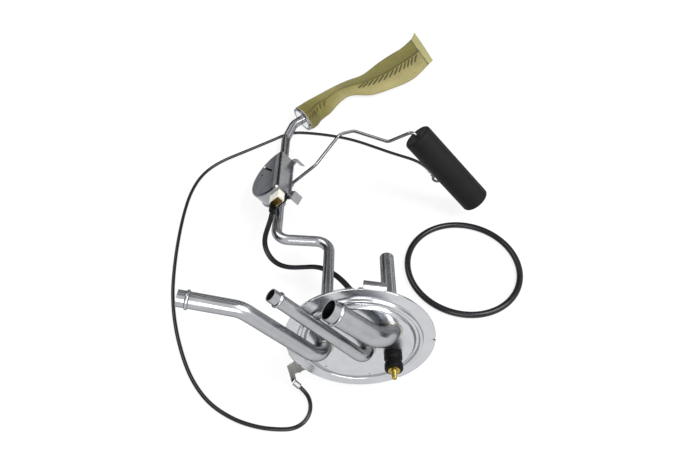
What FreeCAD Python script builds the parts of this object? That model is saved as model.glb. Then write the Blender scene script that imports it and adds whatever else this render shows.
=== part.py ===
import FreeCAD, Part
import math
import os

# Flange plate: its seat is the plane y = 0, and the tank is on the +y side
flange_radius = 46.1
plate_thickness = 1.6
rim_rounding = 0.3
bead_outer_radius = 38.7
bead_inner_radius = 35.8
bead_height = 2.0
bead_slope = 0.7
groove_depth = 1.2
groove_half_width = 0.75
plateau_foot_radius = 34.2
plateau_radius = 32.6
plateau_height = 2.6
plateau_rounding = 1.2
notch_depth = 2.2
notch_half_width = 1.7
notch_angles = (94.2, 3.6, 214.0, 304.0)
key_width = 13.0
key_length = 3.5
key_angle = 81.0
dimple_radius = 0.7
dimple_depth = 0.6
dimple_angles = (213.7, 227.3, 283.1)
dimple_circle = 30.8
lean = 9.0

# Steel tubes: diameters, wall, end beads and where they pass the plate, as x and z
tube_wall = 0.7
supply_diameter = 9.53
return_diameter = 7.94
vent_diameter = 12.7
stub_diameter = 9.53
pickup_diameter = 7.94
hose_bead_rise = 0.85
hose_bead_half_width = 1.1
hose_bead_from_end = 5.5
braze_clearance = 0.05
braze_width = 1.2
outer_braze_height = 0.5
supply_point = (-21.5, -3.5)
return_point = (5.0, -5.4)
vent_point = (18.4, 12.8)
supply_tail = 11.0
return_tail = 12.0
vent_tail = 8.0
stub_length = 59.0
stub_socket = 5.0
stub_foot_height = 1.2
stub_cone = 2.5

# Outside turns of the tubes: y of the run, then x and z of the far points
supply_level = -13.8
supply_turn = (-65.9, 41.8)
supply_end = (-99.3, 50.4)
return_level = -12.0
return_end = (-49.2, 51.8)
vent_level = -15.3
vent_end = (-18.1, 44.2)
supply_bend = 13.0
supply_sweep = 15.0
return_bend = 10.0
vent_bend = 18.0

# Pickup tube inside the tank
pickup_start = 2.0
riser_length = 92.0
jog_left = -61.8
jog_rise = 2.5
run_end = (-67.4, 236.0)
hook_turn = (-61.1, 252.9, 2.6)
hook_end = (-52.0, 262.1, 4.05)
pickup_bend = 11.0
hook_bend = 13.0

# Sender housing, in axes of its own: pivot at the origin, z out of the lid
pivot_reach = 155.0
sender_roll = 50.0
tube_offset = 9.0
tube_clearance = 0.1
can_radius = 25.0
can_flat = 7.2
can_depth = 13.0
can_sheet = 0.9
can_rounding = 1.6
back_plate_thickness = 1.0
back_plate_margin = 1.0
back_plate_lip = 8.8
lip_notch = (1.4, 3.2, 5.0)
stop_height = 7.5
stop_thickness = 1.0
stop_ear = 8.0
lower_stop = ((13.5, -25.0), (8.9, -30.9))
upper_stop = ((9.6, 24.0), (14.2, 18.4))
ear_width = 3.6
ear_fold = 2.2
ear_clearance = 0.1
ear_angles = (180.0, 96.0, 264.0)
slot_angle = 126.0
slot_width = 1.7
slot_span = (3.0, 20.5)
window_size = 2.0
window_place = (-13.4, 6.7)
peep_radius = 0.9
peep_place = (-11.9, 19.3)

# Saddles that clamp the housing to the tube
saddle_thickness = 1.2
saddle_width = 9.0
saddle_spacing = 24.0
saddle_reach = 10.0
saddle_rounding = 1.5
saddle_rivet_x = -1.2
rivet_radius = 1.25
rivet_head_radius = 2.1
rivet_head = 0.7

# Pivot, wiper and resistor
shaft_radius = 2.2
shaft_tip_radius = 1.5
running_clearance = 0.05
bush_flange_radius = 4.0
bush_flange = 0.8
bush_neck_radius = 3.1
bush_rise = 1.2
hub_radius = 3.6
hub_top = -1.0
hub_bottom = -6.9
arm_level = -5.0
wiper_gap = 0.3
carrier_radius = 4.2
carrier_thickness = 1.6
contact_width = 3.0
contact_thickness = 0.4
contact_eye_radius = 3.2
contact_finger = (2.2, 5.6)
contact_gap = 0.15
stake_radius = 2.3
stake_height = 0.6
card_radius = 20.6
card_thickness = 0.8
card_height = 6.4
card_half_angle = 66.0
winding_rise = 0.35
winding_half_angle = 56.0
winding_foot = 0.6

# Float arm from the hub outwards at rest, its bends, and the float on its end
arm_diameter = 2.6
arm_rest_angle = 4.78
arm_tail = 3.9
arm_route = ((28.7, 2.4, -5.0), (51.7, 30.8, -9.2), (62.9, 29.3, -13.6), (85.0, 7.2, -28.5))
arm_bends = (5.0, 7.0, 7.0, 7.0, 4.5)
float_top = (106.9, 0.9, -34.9)
float_foot = (112.1, -12.3, -111.1)
float_length = 77.0
float_radius = 11.45
float_rounding = 2.2
float_clearance = 0.1
float_play = 0.25
wire_stand_off = 4.5
wire_tip = 1.6
nut_radius = 3.4
nut_thickness = 0.7

# Terminal of the sender and the flat lead
block_width = 10.5
block_height = 6.6
block_foot = 3.7
block_depth = 8.0
block_boss_radius = 2.4
insulator_width = 13.0
insulator_thickness = 1.2
clip_size = (7.8, 5.4)
clip_thickness = 0.8
clip_eye_radius = 1.1
blade_width = 4.0
blade_thickness = 0.8
blade_length = 7.0
blade_side = -4.0
blade_bend = 1.2
lead_width = 4.3
lead_thickness = 0.8
socket_wall = 0.5
socket_length = 9.0
socket_from_blade_root = 1.0

# Electrical feed through the flange
feed_point = (20.7, -9.7)
feed_hole_radius = 3.1
stud_radius = 1.7
shank_radius = 1.5
stud_clearance = 0.05
stud_tip = 5.5
spool_radius = 5.7
spool_waist = 4.6
spool_length = 11.0
spool_rounding = 0.9
feed_washer_radius = 3.7
feed_washer_thickness = 0.8
seal_radius = 6.4
seal_thickness = 1.5
inner_spool_radius = 5.0
inner_spool_length = 3.0
nose_clearance = 0.1
tag_radius = 3.4
tag_drop = 6.0
tag_length = 9.0
feed_nut_flats = 5.5
feed_nut_height = 2.4
stud_inner_tip = 0.9

# Ground strap, its terminals and the lock-ring gasket
strap_heading = 187.3
strap_width = 11.4
strap_thickness = 0.8
strap_level = -0.8
strap_clearance = 0.05
strap_rim = (-0.8, -0.6)
strap_fold_middle = (-3.92, -1.09)
strap_fold = 36.0
strap_bend = 1.2
strap_flap = 5.2
strap_root = ((-8.02, 18.56), (-7.32, 12.46), (-4.82, 6.46))
strap_root_end = (2.58, -3.14)
strap_crimp = (-5.12, -4.5, -12.54)
strap_crimp_heading = (3.6, -1.83, -2.2)
strap_crimp_length = 4.6
strap_tongue_start = (-6.32, -2.9, -4.74)
strap_tongue_width = 3.4
crimp_wall = 0.6
crimp_length = 7.0
tongue_width = 4.4
tongue_thickness = 0.8
ground_wire_diameter = 2.7
eyelet_radius = 4.6
eyelet_bore = 2.3
eyelet_neck = 3.4
ring_radius = 42.9
ring_cord = 4.8
ring_place = (81.5, 87.7)

# Strainer: its collar and the sections of the sock, as x, y, z, half width,
# half thickness, roll and heading
collar_half_width = 12.5
collar_half_thickness = 6.4
collar_wall = 0.8
collar_behind_tube_end = 2.4
collar_depth = 9.0
strainer_roll = 30.0
sock_sides = 16
sock_sections = (
    (-51.0, 260.5, -37.0, 11.4, 5.3, 30.0, 45.5),
    (-45.0, 266.6, -37.0, 11.4, 5.3, 30.0, 45.5),
    (-31.0, 281.5, -37.3, 12.8, 5.8, 26.0, 45.5),
    (-15.0, 303.0, -38.4, 11.6, 5.4, 12.0, 45.0),
    (6.0, 317.5, -38.9, 15.5, 6.0, 0.0, 45.0),
    (35.0, 345.0, -39.0, 20.5, 5.8, 0.0, 44.0),
    (56.0, 370.0, -40.6, 24.0, 4.2, 0.0, 35.0),
    (73.5, 392.5, -43.5, 30.0, 1.3, 0.0, 14.0),
)

# Route of the flat lead after the sender's terminal, and up to the feed
lead_route = (
    (-67.0, 100.8, 5.5),
    (-70.1, 94.7, -1.8),
    (-69.9, 90.6, -8.6),
    (-65.9, 85.6, -14.3),
    (-59.5, 81.2, -17.1),
    (-51.1, 79.2, -18.0),
    (-41.0, 78.6, -16.8),
    (-31.2, 77.6, -14.9),
    (-22.2, 72.8, -13.6),
    (-11.7, 62.7, -13.1),
    (0.3, 45.3, -15.4),
    (13.2, 36.4, -14.6),
)

# Route of the ground wire, as x, y and height above the surface it lies on
wire_route = (
    (-30.9, -21.4, 1.6),
    (-30.7, -29.0, 1.36),
    (-34.3, -35.6, 1.36),
    (-40.9, -39.4, 1.36),
    (-50.0, -40.0, 1.36),
    (-63.0, -38.9, 1.36),
    (-79.0, -34.3, 1.36),
    (-96.5, -24.2, 1.36),
    (-110.5, -8.6, 1.36),
    (-121.1, 10.2, 1.36),
    (-131.0, 33.6, 1.36),
    (-138.3, 59.0, 1.36),
    (-142.3, 84.8, 1.36),
    (-144.9, 110.8, 1.36),
    (-146.2, 140.0, 1.36),
    (-145.2, 165.4, 1.36),
    (-139.4, 187.6, 1.36),
    (-126.5, 204.2, 1.36),
    (-104.8, 218.8, 1.36),
    (-83.5, 233.4, 1.36),
    (-64.2, 247.2, 1.36),
    (-44.2, 246.2, 1.36),
    (-23.8, 242.9, 1.36),
    (-3.1, 236.9, 1.36),
    (17.5, 226.6, 1.36),
    (31.6, 219.3, 1.36),
    (42.6, 214.4, 1.36),
    (50.2, 211.0, 1.36),
    (56.3, 206.9, 1.5),
    (61.3, 201.6, 1.8),
    (65.3, 195.4, 2.0),
)

vector = FreeCAD.Vector
origin = vector(0, 0, 0)
inward = vector(0, 1, 0)
outward = vector(0, -1, 0)
upward = vector(0, 0, 1)
outer_face = -plate_thickness
crown_face = outer_face - plateau_height
inner_face = -plateau_height
floor = -flange_radius * math.cos(math.radians(lean))
laid = FreeCAD.Placement(origin, FreeCAD.Rotation(vector(1, 0, 0), -lean))

os.makedirs("parts", exist_ok=True)


def write(shape, name, place=laid):
    shape = shape.copy()
    shape.Placement = place.multiply(shape.Placement)
    shape.exportStep("parts/" + name + ".step")


def join(shapes):
    result = shapes[0]
    for shape in shapes[1:]:
        result = result.fuse(shape)
    return result.removeSplitter()


def unit(start, end):
    return (end - start).normalize()


def rod(start, direction, length, radius):
    return Part.makeCylinder(radius, length, start, direction)


def ring(start, direction, length, outer, inner):
    return rod(start, direction, length, outer).cut(rod(start, direction, length, inner))


def box(low, high):
    size = vector(*high) - vector(*low)
    return Part.makeBox(size.x, size.y, size.z, vector(*low))


def corner_arc(before, corner, after, bend):
    coming = unit(before, corner)
    going = unit(corner, after)
    turn = coming.getAngle(going)
    reach = bend * math.tan(turn / 2)
    inside = (going - coming).normalize()
    middle = corner + inside * (bend / math.cos(turn / 2) - bend)
    return corner - coming * reach, middle, corner + going * reach


def path(points, bends):
    edges = []
    start = points[0]
    for before, corner, after, bend in zip(points, points[1:], points[2:], bends):
        first, middle, last = corner_arc(before, corner, after, bend)
        edges.append(Part.makeLine(start, first))
        edges.append(Part.Arc(first, middle, last).toShape())
        start = last
    edges.append(Part.makeLine(start, points[-1]))
    return Part.Wire(edges)


# A closed wire through corners, each a point and its rounding
def outline(corners):
    stations = []
    for index, (corner, rounding) in enumerate(corners):
        before = corners[index - 1][0]
        after = corners[(index + 1) % len(corners)][0]
        if rounding:
            stations.append(corner_arc(before, corner, after, rounding))
        else:
            stations.append((corner, None, corner))
    edges = []
    for index, (first, middle, last) in enumerate(stations):
        if middle:
            edges.append(Part.Arc(first, middle, last).toShape())
        edges.append(Part.makeLine(last, stations[(index + 1) % len(stations)][0]))
    return Part.Wire(edges)


# A revolved solid; the profile holds radius, distance along the axis and rounding
def turned(profile, start, direction):
    face = Part.Face(outline([(vector(radius, 0, along), rounding) for radius, along, rounding in profile]))
    solid = face.revolve(origin, upward, 360)
    solid.Placement = FreeCAD.Placement(start, FreeCAD.Rotation(upward, direction))
    return solid


# A flat plate in the xy plane; corners hold x, y and rounding
def plate(corners, low, high):
    face = Part.Face(outline([(vector(x, y, low), rounding) for x, y, rounding in corners]))
    return face.extrude(upward * (high - low))


def pipe(points, bends, radius):
    section = Part.Wire(Part.makeCircle(radius, points[0], unit(points[0], points[1])))
    return path(points, bends).makePipeShell([section], True, False)


def strip(points, bends, across, width, thickness):
    side = across * (width / 2)
    face = unit(points[0], points[1]).cross(across) * (thickness / 2)
    start = points[0]
    section = Part.makePolygon(
        [start - side - face, start + side - face, start + side + face, start - side + face, start - side - face]
    )
    return path(points, bends).makePipeShell([section], True, False)


def spoke(angle):
    return vector(math.cos(math.radians(angle)), 0, math.sin(math.radians(angle)))


def spun(shape, angle):
    """Turns a shape about the flange's axis, from +x towards +z."""
    shape = shape.copy()
    shape.rotate(origin, inward, -angle)
    return shape


def cord_bends(points, name):
    """The widest arc that each corner's two runs leave room for."""
    bends = []
    for before, corner, after in zip(points, points[1:], points[2:]):
        run = min(before.distanceToPoint(corner), corner.distanceToPoint(after))
        turn = unit(before, corner).getAngle(unit(corner, after))
        bends.append(0.45 * run / math.tan(turn / 2))
    print(name, "radii", [round(bend, 1) for bend in bends])
    return bends


def report_cord(name, solid, points, bends, section):
    length = path(points, bends).Length
    print(name, "length", round(length, 1), "volume ratio", round(solid.Volume / (section * length), 4))


# Flange plate
def flange_plate():
    slope = math.hypot(plateau_foot_radius - plateau_radius, plateau_height)
    setback = plate_thickness * (slope - plateau_foot_radius + plateau_radius) / plateau_height
    bead_middle = (bead_inner_radius + bead_outer_radius) / 2
    tight = plateau_rounding / 2
    profile = (
        (0, crown_face, 0),
        (plateau_radius, crown_face, plateau_rounding),
        (plateau_foot_radius, outer_face, tight),
        (bead_inner_radius, outer_face, tight / 2),
        (bead_inner_radius + bead_slope, outer_face - bead_height, tight),
        (bead_outer_radius - bead_slope, outer_face - bead_height, tight),
        (bead_outer_radius, outer_face, tight / 2),
        (flange_radius, outer_face, rim_rounding),
        (flange_radius, 0, rim_rounding),
        (bead_middle + groove_half_width, 0, 0),
        (bead_middle, -groove_depth, tight),
        (bead_middle - groove_half_width, 0, 0),
        (plateau_foot_radius - setback, 0, tight),
        (plateau_radius - setback, inner_face, tight),
        (0, inner_face, 0),
    )
    body = turned(profile, origin, inward)
    return join([body, key_tab()]).cut(Part.makeCompound(plate_cuts()))


def key_tab():
    """The tongue that is folded from the rim and sets the plate's turn in the tank."""
    across = spoke(key_angle + 90)
    level = inward * (outer_face / 2)
    face = spoke(key_angle) * (flange_radius + plate_thickness / 2)
    root = spoke(key_angle) * (flange_radius - plate_thickness)
    points = [root + level, face + level, face + inward * key_length]
    return strip(points, [plate_thickness], across, key_width, plate_thickness)


def plate_cuts():
    cuts = [rod(feed_spot(0), outward, -crown_face + 1, feed_hole_radius)]
    for points, bends, diameter in outer_tubes():
        cuts.append(pipe(points, bends, diameter / 2 + braze_clearance))
    flare = notch_half_width * (notch_depth + 1) / notch_depth
    tip = flange_radius - notch_depth
    for angle in notch_angles:
        corners = [vector(tip, 1, 0), vector(flange_radius + 1, 1, flare), vector(flange_radius + 1, 1, -flare)]
        face = Part.Face(Part.makePolygon(corners + corners[:1]))
        cuts.append(spun(face.extrude(outward * (plate_thickness + 2)), angle))
    for angle in dimple_angles:
        start = spoke(angle) * dimple_circle + inward * crown_face
        cuts.append(rod(start, inward, dimple_depth, dimple_radius))
    return cuts


# Tubes
def hose_bead(end, direction, radius):
    half = hose_bead_half_width
    profile = (
        (radius - tube_wall / 2, -half, 0),
        (radius, -half, 0),
        (radius + hose_bead_rise, -half / 2, half / 2),
        (radius + hose_bead_rise, half / 2, half / 2),
        (radius, half, 0),
        (radius - tube_wall / 2, half, 0),
    )
    return turned(profile, end - direction * hose_bead_from_end, direction)


def spigot(points, bends, diameter):
    bead = hose_bead(points[-1], unit(points[-2], points[-1]), diameter / 2)
    return pipe(points, bends, diameter / 2).fuse(bead).cut(pipe(points, bends, diameter / 2 - tube_wall))


def through_plate(point, tail, level):
    x, z = point
    return [vector(x, tail, z), vector(x, level, z)]


def supply_tube():
    far = [vector(x, supply_level, z) for x, z in (supply_turn, supply_end)]
    points = through_plate(supply_point, supply_tail, supply_level) + far
    return points, [supply_bend, supply_sweep], supply_diameter


def return_tube():
    end = vector(return_end[0], return_level, return_end[1])
    return through_plate(return_point, return_tail, return_level) + [end], [return_bend], return_diameter


def vent_tube():
    end = vector(vent_end[0], vent_level, vent_end[1])
    return through_plate(vent_point, vent_tail, vent_level) + [end], [vent_bend], vent_diameter


def outer_tubes():
    return supply_tube(), return_tube(), vent_tube()


def vent_stub():
    foot = vent_diameter / 2 - tube_wall - braze_clearance
    neck = stub_diameter / 2
    shoulder = vent_tail + stub_foot_height
    profile = (
        (foot - tube_wall, vent_tail - stub_socket, 0),
        (foot, vent_tail - stub_socket, 0),
        (foot, shoulder, 0.4),
        (neck, shoulder + stub_cone, 0.8),
        (neck, stub_length, 0),
        (neck - tube_wall, stub_length, 0),
        (neck - tube_wall, shoulder + stub_cone, 0.8),
        (foot - tube_wall, shoulder, 0.4),
    )
    return turned(profile, vector(vent_point[0], 0, vent_point[1]), inward)


def pickup_points():
    x, z = supply_point
    return [
        vector(x, pickup_start, z),
        vector(x, riser_length, z),
        vector(jog_left, riser_length + jog_rise, z),
        vector(run_end[0], run_end[1], z),
        vector(*hook_turn),
        vector(*hook_end),
    ]


def pickup_tube():
    points = pickup_points()
    bends = [pickup_bend, pickup_bend, hook_bend, hook_bend]
    return pipe(points, bends, pickup_diameter / 2).cut(pipe(points, bends, pickup_diameter / 2 - tube_wall))


def braze_ring(point, level, direction, radius, width, height):
    profile = ((radius, 0, 0), (radius + width, 0, 0), (radius + width / 3, height / 3, 0), (radius, height, 0))
    return turned(profile, vector(point[0], level, point[1]), direction)


def braze_collar(tube, low, high):
    """A thin collar round a bent tube, between two levels."""
    points, bends, diameter = tube
    slab = box((-flange_radius, low, -flange_radius), (flange_radius, high, flange_radius))
    collar = pipe(points, bends, diameter / 2 + braze_width).common(slab)
    return collar.cut(pipe(points, bends, diameter / 2))


def braze_fillets():
    rings = []
    for tube in outer_tubes():
        rings.append(braze_collar(tube, crown_face - outer_braze_height, crown_face))
        rings.append(braze_collar(tube, inner_face, inner_face + braze_width))
    supply_step = (supply_diameter - pickup_diameter) / 2
    foot = vent_diameter / 2 - tube_wall - braze_clearance
    rings.append(braze_ring(supply_point, supply_tail, inward, pickup_diameter / 2, supply_step, supply_step))
    rings.append(braze_ring(vent_point, vent_tail, inward, foot, tube_wall, stub_foot_height / 2))
    return Part.makeCompound(rings)


# Sender housing
def sender_place():
    points = pickup_points()
    run_start = points[2]
    along = unit(run_start, points[3])
    beside = vector(along.y, -along.x, 0)
    roll = math.radians(sender_roll)
    lid = beside * -math.cos(roll) + upward * math.sin(roll)
    right = along.cross(lid)
    on_tube = run_start + along * ((pivot_reach - run_start.y) / along.y)
    pivot = on_tube + right * tube_offset + lid * (pickup_diameter / 2 + tube_clearance)
    return FreeCAD.Placement(pivot, FreeCAD.Rotation(right, along, lid, "ZYX"))


def drum(radius, flat, low, high):
    """A round block with a flat side at x = flat."""
    trim = box((flat, -2 * radius, low - 1), (2 * radius, 2 * radius, high + 1))
    return rod(upward * low, upward, high - low, radius).cut(trim)


def rim_box(angle, inner, outer, width, low, high):
    block = box((inner, -width / 2, low), (outer, width / 2, high))
    block.rotate(origin, upward, angle)
    return block


def sender_can():
    foot = back_plate_thickness
    top = foot + can_depth
    shell = drum(can_radius, can_flat, foot, top)
    lid_edges = [edge for edge in shell.Edges if edge.BoundBox.ZMin > top - 0.01]
    shell = shell.makeFillet(can_rounding, lid_edges)
    hollow = drum(can_radius - can_sheet, can_flat - can_sheet, foot, top - can_sheet)
    inner_edges = [edge for edge in hollow.Edges if edge.BoundBox.ZMin > top - can_sheet - 0.01]
    hollow = hollow.makeFillet(can_rounding - can_sheet, inner_edges)
    slot = box((slot_span[0], -slot_width / 2, foot), (slot_span[1], slot_width / 2, top + 1))
    slot.rotate(origin, upward, slot_angle)
    half = window_size / 2
    x, y = window_place
    window = box((x - half, y - half, foot), (x + half, y + half, top + 1))
    peep = rod(vector(peep_place[0], peep_place[1], foot), upward, can_depth + 1, peep_radius)
    terminal_hole = rod(vector(0, 0, terminal_level()), outward, can_radius + 1, block_boss_radius)
    ears = []
    for angle in ear_angles:
        ears.append(rim_box(angle, can_radius - can_sheet, can_radius, ear_width, -can_sheet, foot))
        ears.append(rim_box(angle, can_radius - can_sheet - ear_fold, can_radius, ear_width, -can_sheet, 0))
    return join([shell.cut(Part.makeCompound([hollow, slot, window, peep, terminal_hole]))] + ears)


def stop(bend_line):
    """A stop ear in the plate's plane and its tab, folded down at the bend line."""
    start, end = [vector(x, y, 0) for x, y in bend_line]
    back = unit(start, end).cross(upward)
    ear = [start, end, end + back * stop_ear, start + back * stop_ear]
    tab = [start, end, end + back * stop_thickness, start + back * stop_thickness]
    ear_face = Part.Face(Part.makePolygon(ear + ear[:1]))
    tab_face = Part.Face(Part.makePolygon(tab + tab[:1]))
    lowered = tab_face.extrude(upward * -stop_height)
    return [ear_face.extrude(upward * back_plate_thickness), lowered]


def sender_back_plate():
    top = back_plate_thickness
    disc = drum(can_radius + back_plate_margin, back_plate_lip, 0, top)
    body = join([disc] + stop(lower_stop) + stop(upper_stop))
    depth, low, high = lip_notch
    cuts = [
        box((back_plate_lip - depth, low, -1), (back_plate_lip + 1, high, top + 1)),
        rod(upward * -1, upward, top + 2, bush_neck_radius),
    ]
    for angle in ear_angles:
        inner = can_radius - can_sheet - ear_clearance
        outer = can_radius + ear_clearance
        cuts.append(rim_box(angle, inner, outer, ear_width + 2 * ear_clearance, -1, top + 1))
    for y in (-saddle_spacing / 2, saddle_spacing / 2):
        cuts.append(rod(vector(saddle_rivet_x, y, -1), upward, top + 2, rivet_radius))
    return body.cut(Part.makeCompound(cuts))


def saddle(y):
    """A strap round the back of the tube with two flat feet on the plate."""
    radius = pickup_diameter / 2 + tube_clearance / 2
    level = -pickup_diameter / 2 - tube_clearance
    outer = radius + saddle_thickness
    low = y - saddle_width / 2
    axis = vector(-tube_offset, low, level)
    sleeve = rod(axis, inward, saddle_width, outer)
    web = box((-tube_offset - outer, low, level), (-tube_offset + outer, low + saddle_width, 0))
    foot = box(
        (-tube_offset - saddle_reach, low, -saddle_thickness), (-tube_offset + saddle_reach, low + saddle_width, 0)
    )
    throat = box((-tube_offset - radius, low, level), (-tube_offset + radius, low + saddle_width, outer))
    body = join([sleeve, web, foot])
    corners = [edge for edge in body.Edges if is_foot_corner(edge, low)]
    body = body.makeFillet(saddle_rounding, corners)
    hole = rod(vector(saddle_rivet_x, y, -saddle_thickness - 1), upward, saddle_thickness + 2, rivet_radius)
    return body.cut(Part.makeCompound([rod(axis, inward, saddle_width, radius), throat, hole]))


def is_foot_corner(edge, low):
    """The four upright corners at the ends of the feet."""
    bounds = edge.BoundBox
    upright = bounds.XLength < 0.01 and bounds.YLength < 0.01
    return upright and abs(bounds.XMin + tube_offset) > saddle_reach - 0.01


def tube_saddles():
    return Part.makeCompound([saddle(-saddle_spacing / 2), saddle(saddle_spacing / 2)])


def saddle_rivets():
    rivets = []
    for y in (-saddle_spacing / 2, saddle_spacing / 2):
        profile = (
            (0, -saddle_thickness - rivet_head, 0),
            (rivet_head_radius, -saddle_thickness - rivet_head, 0.5),
            (rivet_head_radius, -saddle_thickness, 0),
            (rivet_radius, -saddle_thickness, 0),
            (rivet_radius, back_plate_thickness, 0),
            (rivet_head_radius, back_plate_thickness, 0),
            (rivet_head_radius, back_plate_thickness + rivet_head, 0.5),
            (0, back_plate_thickness + rivet_head, 0),
        )
        rivets.append(turned(profile, vector(saddle_rivet_x, y, 0), upward))
    return Part.makeCompound(rivets)


# Pivot and wiper
def bush_top():
    return back_plate_thickness + bush_rise


def carrier_foot():
    return bush_top() + wiper_gap


def pivot_bush():
    flange = rod(upward * -bush_flange, upward, bush_flange, bush_flange_radius)
    neck = rod(origin, upward, bush_top(), bush_neck_radius)
    bore = rod(upward * -bush_flange, upward, bush_flange + bush_top(), shaft_radius + running_clearance)
    return join([flange, neck]).cut(bore)


def pivot_shaft():
    contact_top = carrier_foot() + carrier_thickness + contact_thickness
    profile = (
        (0, hub_bottom, 0),
        (hub_radius, hub_bottom, 0.5),
        (hub_radius, hub_top, 0.3),
        (shaft_radius, hub_top, 0),
        (shaft_radius, carrier_foot(), 0),
        (shaft_tip_radius, carrier_foot(), 0),
        (shaft_tip_radius, contact_top, 0),
        (stake_radius, contact_top, 0),
        (stake_radius, contact_top + stake_height, 0.4),
        (0, contact_top + stake_height, 0),
    )
    return turned(profile, origin, upward).cut(arm_wire())


def wiper_carrier():
    return ring(upward * carrier_foot(), upward, carrier_thickness, carrier_radius, shaft_tip_radius)


def wiper_contact():
    level = carrier_foot() + carrier_thickness
    tip = card_radius - winding_rise - contact_gap
    eye = rod(upward * level, upward, contact_thickness, contact_eye_radius)
    blade = box((0, -contact_width / 2, level), (tip, contact_width / 2, level + contact_thickness))
    low, high = contact_finger
    finger = box((tip - contact_thickness, -contact_width / 4, low), (tip, contact_width / 4, high))
    hole = rod(upward * level, upward, contact_thickness, shaft_tip_radius)
    contact = join([eye, blade, finger]).cut(hole)
    contact.rotate(origin, upward, arm_rest_angle + 180)
    return contact


def arc_wall(inner, outer, half_angle, low, high):
    """A curved wall centred on the direction opposite to the arm's middle."""
    face = Part.Face(
        outline([(vector(inner, 0, low), 0), (vector(outer, 0, low), 0), (vector(outer, 0, high), 0),
                 (vector(inner, 0, high), 0)])
    )
    wall = face.revolve(origin, upward, 2 * half_angle)
    wall.rotate(origin, upward, card_angle() - half_angle)
    return wall


def card_angle():
    """The card's middle, opposite the middle of the arm's travel between its stops."""
    lower = math.degrees(math.atan2(lower_stop[0][1], lower_stop[0][0]))
    upper = math.degrees(math.atan2(upper_stop[1][1], upper_stop[1][0]))
    return 180 + (lower + upper) / 2


def resistor_card():
    foot = back_plate_thickness
    return arc_wall(card_radius, card_radius + card_thickness, card_half_angle, foot, foot + card_height)


def resistor_winding():
    foot = back_plate_thickness
    inner = card_radius - winding_rise
    outer = card_radius + card_thickness
    top = foot + card_height
    wall = arc_wall(inner, card_radius, winding_half_angle, foot + winding_foot, top)
    cap = arc_wall(inner, outer, winding_half_angle, top, top + winding_rise)
    return join([wall, cap])


# Float arm and float
def float_axis():
    top = vector(*float_top)
    return top, unit(top, vector(*float_foot))


def arm_wire():
    top, down = float_axis()
    direction = vector(math.cos(math.radians(arm_rest_angle)), math.sin(math.radians(arm_rest_angle)), 0)
    start = upward * arm_level - direction * arm_tail
    route = [vector(*point) for point in arm_route]
    turn = top - down * wire_stand_off
    end = top + down * (float_length + wire_tip)
    return pipe([start] + route + [turn, end], arm_bends, arm_diameter / 2)


def tank_float():
    top, down = float_axis()
    bore = arm_diameter / 2 + float_clearance
    profile = (
        (bore, 0, 0.4),
        (float_radius, 0, float_rounding),
        (float_radius, float_length, float_rounding),
        (bore, float_length, 0.4),
    )
    return turned(profile, top, down)


def push_nut():
    top, down = float_axis()
    start = top + down * (float_length + float_play)
    return ring(start, down, nut_thickness, nut_radius, arm_diameter / 2)


# Terminal of the sender
def terminal_level():
    return block_foot + block_height / 2


def terminal_block():
    front = -can_radius - block_depth
    low, high = block_foot, block_foot + block_height
    block = box((-block_width / 2, front, low), (block_width / 2, 0, high))
    upright = [edge for edge in block.Edges if edge.BoundBox.YLength > 1]
    block = block.makeFillet(0.8, upright)
    block = block.cut(rod(upward * (low - 1), upward, block_height + 2, can_radius))
    boss = rod(vector(0, front + 1, terminal_level()), inward, block_depth + can_sheet, block_boss_radius)
    bore = rod(vector(0, front, terminal_level()), inward, block_depth + can_sheet + 1, clip_eye_radius)
    return join([block, boss]).cut(bore)


def terminal_insulator():
    """A thin plate under the terminal's block, a little wider than it."""
    front = -can_radius - block_depth
    low, high = block_foot - insulator_thickness, block_foot
    sheet = box((-insulator_width / 2, front, low), (insulator_width / 2, 0, high))
    return sheet.cut(rod(upward * low, upward, insulator_thickness, can_radius))


def blade_points():
    root = vector(blade_side, -can_radius - block_depth - clip_thickness / 2, terminal_level())
    return root, vector(root.x, root.y - blade_length, root.z)


def terminal_clip():
    """A square brass face with a blade folded forward at its side and a rivet through the block."""
    front = -can_radius - block_depth
    width, height = clip_size
    level = terminal_level()
    root, tip = blade_points()
    face = plate(
        ((root.x, level - height / 2, 0), (width / 2, level - height / 2, 0.5),
         (width / 2, level + height / 2, 0.5), (root.x, level + height / 2, 0)),
        0, clip_thickness,
    )
    face.rotate(origin, vector(1, 0, 0), 90)
    face.translate(vector(0, front, 0))
    blade = box(
        (root.x - blade_thickness / 2, tip.y, level - blade_width / 2),
        (root.x + blade_thickness / 2, front, level + blade_width / 2),
    )
    rivet = rod(vector(0, front - clip_thickness, level), inward, block_depth + can_sheet + 1, clip_eye_radius)
    hollow = rod(vector(0, front - clip_thickness, level), inward, block_depth / 2, clip_eye_radius * 0.6)
    return join([face, blade, rivet]).cut(hollow)


def socket(start, direction, across, blade_start, blade_end):
    """A folded sleeve over a blade, with the lead entering its far end."""
    width = max(blade_width, lead_width) + 2 * socket_wall
    thickness = max(blade_thickness, lead_thickness) + 2 * socket_wall
    body = strip([start, start + direction * socket_length], [], across, width, thickness)
    slot = strip([blade_start, blade_end], [], across, blade_width, blade_thickness)
    return body.cut(slot)


# Feed through the flange
def feed_spot(level):
    return vector(feed_point[0], level, feed_point[1])


def feed_spool():
    half = spool_length / 2
    profile = (
        (shank_radius + stud_clearance, 0, 0),
        (spool_radius, 0, spool_rounding),
        (spool_radius, half * 0.6, spool_rounding),
        (spool_waist, half * 0.8, spool_rounding / 2),
        (spool_waist, half * 1.1, spool_rounding / 2),
        (spool_radius, half * 1.3, spool_rounding),
        (spool_radius, spool_length, spool_rounding),
        (shank_radius + stud_clearance, spool_length, 0),
    )
    return turned(profile, feed_spot(crown_face), outward)


def feed_seal():
    return ring(feed_spot(inner_face), inward, seal_thickness, seal_radius, feed_hole_radius)


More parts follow.
